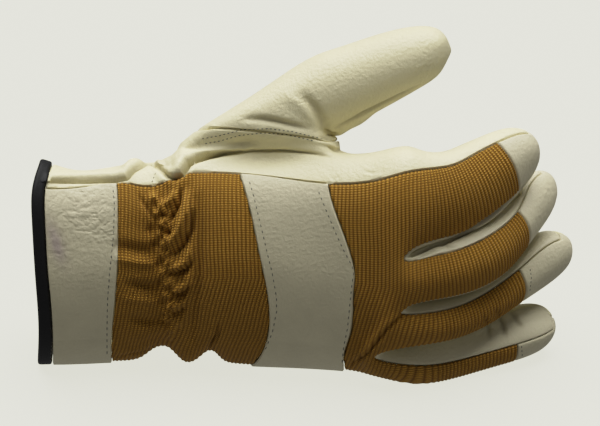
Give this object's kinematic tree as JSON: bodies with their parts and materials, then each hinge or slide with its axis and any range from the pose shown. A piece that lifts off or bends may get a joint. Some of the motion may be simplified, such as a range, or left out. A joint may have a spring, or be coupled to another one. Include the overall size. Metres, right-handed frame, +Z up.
{
  "type": "winter glove",
  "caption": "Right-hand winter work glove: leather palm, thumb, knuckle strap and cuff, ribbed fabric back, shirred wrist, lying on its edge, open at the cuff.",
  "frame": {"origin": "under the middle of the glove, on the surface it rests on", "axes": "+X from the cuff to the fingertips, +Z up towards the thumb, -Y is the way the back of the hand faces"},
  "size_m": [0.2378, 0.0734, 0.1519],
  "materials": {
    "pale_leather": "soft grain, cream",
    "grey_leather": "soft grain, cream grey",
    "tan_fabric": "ribbed weave, golden tan",
    "black_tape": "woven edge tape, black"
  },
  "bodies": {
    "root": {"palm_leather": "pale_leather", "thumb_leather": "pale_leather", "cuff_band": "grey_leather", "knuckle_strap": "grey_leather", "wrist_fabric": "tan_fabric", "finger_fabric": "tan_fabric", "cuff_binding": "black_tape", "forefinger_tip": "grey_leather", "middle_tip": "grey_leather", "ring_tip": "grey_leather", "little_tip": "grey_leather", "fourchette_1": "grey_leather", "fourchette_2": "grey_leather", "fourchette_3": "grey_leather"}
  },
  "joints": []
}
